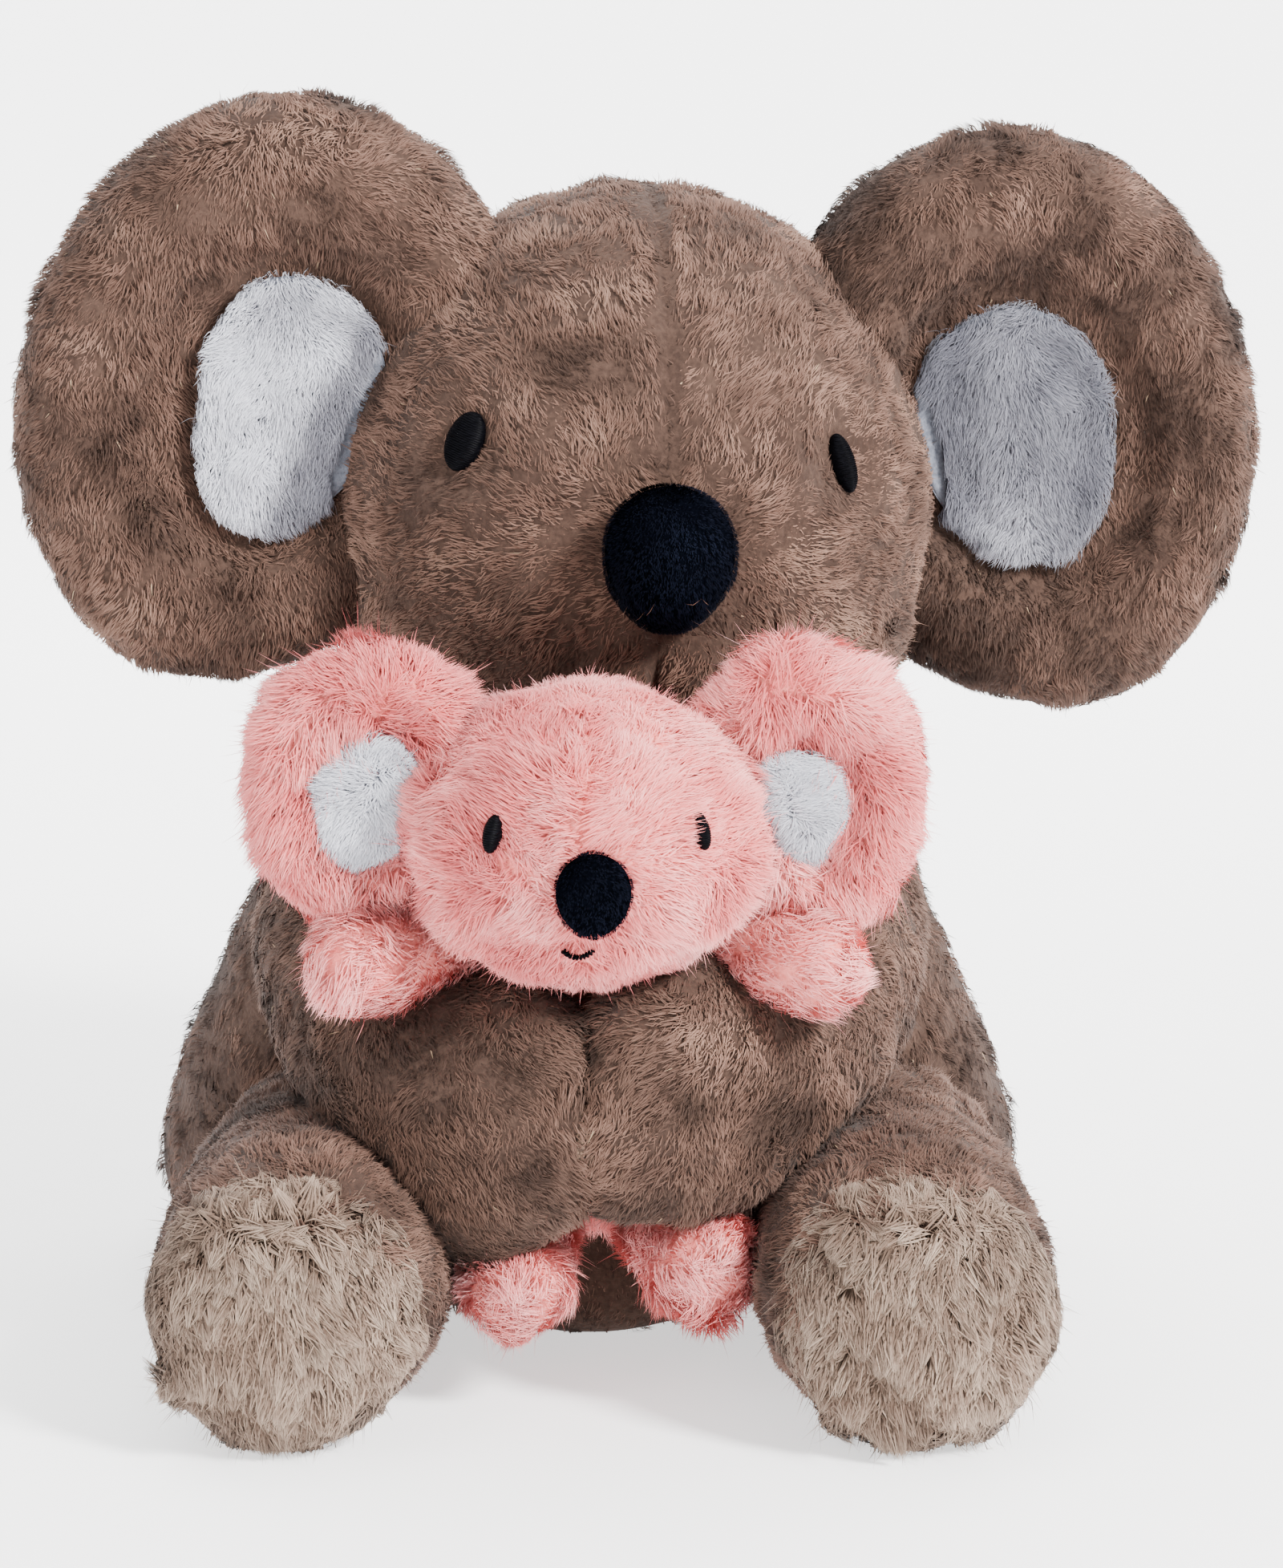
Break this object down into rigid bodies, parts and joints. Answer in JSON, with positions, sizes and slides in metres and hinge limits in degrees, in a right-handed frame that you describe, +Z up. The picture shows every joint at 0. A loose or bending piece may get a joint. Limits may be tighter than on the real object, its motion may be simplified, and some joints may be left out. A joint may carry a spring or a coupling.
{
  "type": "plush koala",
  "caption": "Sitting plush koala with large round ears that holds a small pink koala in its arms",
  "frame": {"origin": "middle of the flat seat, on the surface that the toy sits on", "axes": "+Z up, the toy's face and feet point along -Y, +X to the right of someone who looks the toy in the face; left and right in the names are seen from there"},
  "size_m": [0.2626, 0.2208, 0.2588],
  "materials": {
    "brown_plush": "short crushed taupe brown pile with fine gold flecks",
    "pink_plush": "fluffy pale coral pink pile",
    "white_plush": "short white pile",
    "beige_pile": "long combed beige pile",
    "black_velour": "short navy black velour",
    "black_thread": "satin stitch in black thread",
    "polyester_filling": "loose white polyester fibre",
    "cotton_bag": "plain cotton bag of plastic pellets",
    "fastener_tape": "brown hook-and-loop tape"
  },
  "bodies": {
    "torso": {"body_cover": "brown_plush", "body_filling": "polyester_filling", "leg_cover_left": "brown_plush", "leg_cover_right": "brown_plush", "leg_filling_left": "polyester_filling", "leg_filling_right": "polyester_filling", "pellet_bag": "cotton_bag", "sole_pad_left": "beige_pile", "sole_pad_right": "beige_pile"},
    "head": {"ear_cover_left": "brown_plush", "ear_cover_right": "brown_plush", "ear_filling_left": "polyester_filling", "ear_filling_right": "polyester_filling", "ear_lining_left": "white_plush", "ear_lining_right": "white_plush", "eye_left": "black_thread", "eye_right": "black_thread", "head_cover": "brown_plush", "head_filling": "polyester_filling", "nose": "black_velour"},
    "arm_left": {"arm_cover_left": "brown_plush", "arm_filling_left": "polyester_filling", "hook_patch": "fastener_tape"},
    "arm_right": {"arm_cover_right": "brown_plush", "arm_filling_right": "polyester_filling", "loop_patch": "fastener_tape"},
    "baby": {"baby_arm_left": "pink_plush", "baby_arm_right": "pink_plush", "baby_body_cover": "pink_plush", "baby_body_filling": "polyester_filling", "baby_ear_left": "pink_plush", "baby_ear_lining_left": "white_plush", "baby_ear_lining_right": "white_plush", "baby_ear_right": "pink_plush", "baby_eye_left": "black_thread", "baby_eye_right": "black_thread", "baby_head_cover": "pink_plush", "baby_head_filling": "polyester_filling", "baby_leg_left": "pink_plush", "baby_leg_right": "pink_plush", "baby_mouth": "black_thread", "baby_nose": "black_velour"}
  },
  "joints": [
    {"name": "head_turn", "type": "hinge", "parent": "torso", "child": "head", "pos_m": [0.0085, -0.012, 0.118], "axis": [0, 0, 1], "range_deg": [-15, 15], "stiffness_Nm_per_rad": 0.05},
    {"name": "arm_left_open", "type": "hinge", "parent": "torso", "child": "arm_left", "pos_m": [-0.04918, -0.02328, 0.08777], "axis": [-0.8486, 0, -0.5291], "range_deg": [0, 41]},
    {"name": "arm_right_open", "type": "hinge", "parent": "torso", "child": "arm_right", "pos_m": [0.04918, -0.02328, 0.08777], "axis": [-0.8486, 0, 0.5291], "range_deg": [0, 41]},
    {"name": "baby_lift", "type": "slide", "parent": "torso", "child": "baby", "axis": [0, -0.5655, 0.8247], "range_m": [0, 0.0608]}
  ],
  "couplings": [
    {"joint": "arm_right_open", "follows": "arm_left_open", "ratio": 1},
    {"joint": "baby_lift", "follows": "arm_left_open", "m_per_rad": 0.0849}
  ]
}
